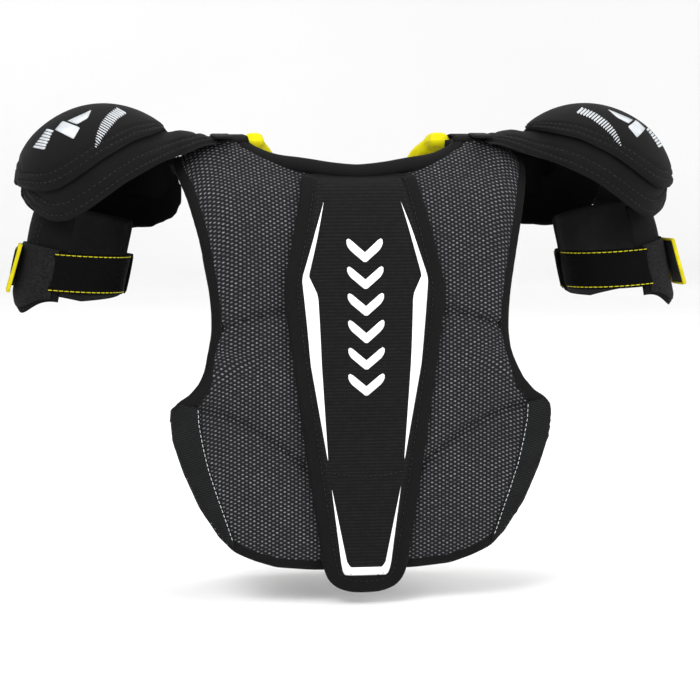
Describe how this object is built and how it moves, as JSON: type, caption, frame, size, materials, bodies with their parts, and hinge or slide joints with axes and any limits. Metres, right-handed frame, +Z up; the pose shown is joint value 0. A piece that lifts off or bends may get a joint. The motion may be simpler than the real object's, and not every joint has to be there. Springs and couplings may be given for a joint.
{
  "type": "hockey shoulder pads",
  "caption": "Youth hockey shoulder pads: padded mesh vest with spine guard, two-layer shoulder caps, bicep guards and elastic arm and side straps.",
  "frame": {"origin": "middle of the shoulder line, under the seam where back and chest meet, at the height of the wearer's shoulders", "axes": "+X to the wearer's right, +Y to the wearer's front, +Z up"},
  "size_m": [0.4388, 0.154, 0.3155],
  "materials": {
    "mesh_fabric": "woven mesh with pale grey dots",
    "yellow_lining": "brushed tricot",
    "lining": "brushed tricot",
    "foam": "soft closed-cell foam",
    "binding": "rolled woven binding",
    "knit_fabric": "ribbed knit",
    "plate_plastic": "moulded polyethylene",
    "cap_shell": "printed fabric moulded over a plastic cap",
    "pad_fabric": "fabric over foam",
    "grey_elastic": "broad ribbed elastic",
    "black_elastic": "flat ribbed elastic",
    "hook_fabric": "hook fastener",
    "loop_fabric": "loop fastener",
    "webbing": "woven webbing"
  },
  "bodies": {
    "vest_back": {"back_cover": "mesh_fabric", "back_liner": "lining", "back_binding": "binding", "neck_binding": "binding", "spine_plate": "plate_plastic", "spine_foam": "foam", "spine_cover": "knit_fabric", "spine_binding": "binding", "back_foam_upper_right": "foam", "back_foam_upper_left": "foam", "back_foam_middle_right": "foam", "back_foam_middle_left": "foam", "back_foam_lower_right": "foam", "back_foam_lower_left": "foam", "cap_anchor_right": "webbing", "cap_anchor_left": "webbing", "side_elastic_right": "grey_elastic", "side_elastic_left": "grey_elastic"},
    "chest": {"chest_cover": "mesh_fabric", "chest_liner": "lining", "chest_binding": "binding", "collar_binding": "binding", "sternum_foam": "foam", "sternum_cover": "knit_fabric", "sternum_binding": "binding", "chest_foam_right": "foam", "chest_foam_left": "foam", "clavicle_pad_right": "yellow_lining", "clavicle_pad_left": "yellow_lining", "chest_loop_right": "loop_fabric", "chest_loop_left": "loop_fabric"},
    "side_strap_right": {"side_strap_right": "grey_elastic", "side_tab_right": "hook_fabric"},
    "cap_right": {"cap_upper_right": "cap_shell", "cap_plate_right": "plate_plastic", "cap_lower_right": "pad_fabric", "cap_front_pad_right": "pad_fabric", "cap_tongue_right": "webbing"},
    "bicep_right": {"bicep_pad_right": "pad_fabric", "bicep_plate_right": "plate_plastic", "bicep_loop_right": "loop_fabric", "bicep_hanger_right": "webbing", "arm_band_right": "black_elastic"},
    "arm_strap_right": {"arm_strap_right": "black_elastic", "arm_hook_right": "hook_fabric"},
    "side_strap_left": {"side_strap_left": "grey_elastic", "side_tab_left": "hook_fabric"},
    "cap_left": {"cap_upper_left": "cap_shell", "cap_plate_left": "plate_plastic", "cap_lower_left": "pad_fabric", "cap_front_pad_left": "pad_fabric", "cap_tongue_left": "webbing"},
    "bicep_left": {"bicep_pad_left": "pad_fabric", "bicep_plate_left": "plate_plastic", "bicep_loop_left": "loop_fabric", "bicep_hanger_left": "webbing", "arm_band_left": "black_elastic"},
    "arm_strap_left": {"arm_strap_left": "black_elastic", "arm_hook_left": "hook_fabric"}
  },
  "joints": [
    {"name": "chest_swing", "type": "hinge", "parent": "vest_back", "child": "chest", "pos_m": [0, 0, 0.003], "axis": [1, 0, 0], "range_deg": [0, 40], "stiffness_Nm_per_rad": 0.6},
    {"name": "side_strap_right_swing", "type": "hinge", "parent": "vest_back", "child": "side_strap_right", "pos_m": [0.11124, -0.002, -0.176], "axis": [-0.2478, 0, -0.9688], "range_deg": [0, 100]},
    {"name": "cap_right_lift", "type": "hinge", "parent": "vest_back", "child": "cap_right", "pos_m": [0.09, 0, 0.0045], "axis": [0, -1, 0], "range_deg": [-6, 45], "stiffness_Nm_per_rad": 2},
    {"name": "bicep_right_swing", "type": "hinge", "parent": "cap_right", "child": "bicep_right", "pos_m": [0.201, 0, -0.047], "axis": [0, -1, 0], "range_deg": [-8, 20], "stiffness_Nm_per_rad": 0.3},
    {"name": "arm_strap_right_open", "type": "hinge", "parent": "bicep_right", "child": "arm_strap_right", "pos_m": [0.14132, 0, -0.0958], "axis": [-0.2079, 0, 0.9781], "range_deg": [0, 110]},
    {"name": "side_strap_left_swing", "type": "hinge", "parent": "vest_back", "child": "side_strap_left", "pos_m": [-0.11124, -0.002, -0.176], "axis": [-0.2478, 0, 0.9688], "range_deg": [0, 100]},
    {"name": "cap_left_lift", "type": "hinge", "parent": "vest_back", "child": "cap_left", "pos_m": [-0.09, 0, 0.0045], "axis": [0, 1, 0], "range_deg": [-6, 45], "stiffness_Nm_per_rad": 2},
    {"name": "bicep_left_swing", "type": "hinge", "parent": "cap_left", "child": "bicep_left", "pos_m": [-0.201, 0, -0.047], "axis": [0, 1, 0], "range_deg": [-8, 20], "stiffness_Nm_per_rad": 0.3},
    {"name": "arm_strap_left_open", "type": "hinge", "parent": "bicep_left", "child": "arm_strap_left", "pos_m": [-0.14132, 0, -0.0958], "axis": [-0.2079, 0, -0.9781], "range_deg": [0, 110]}
  ]
}
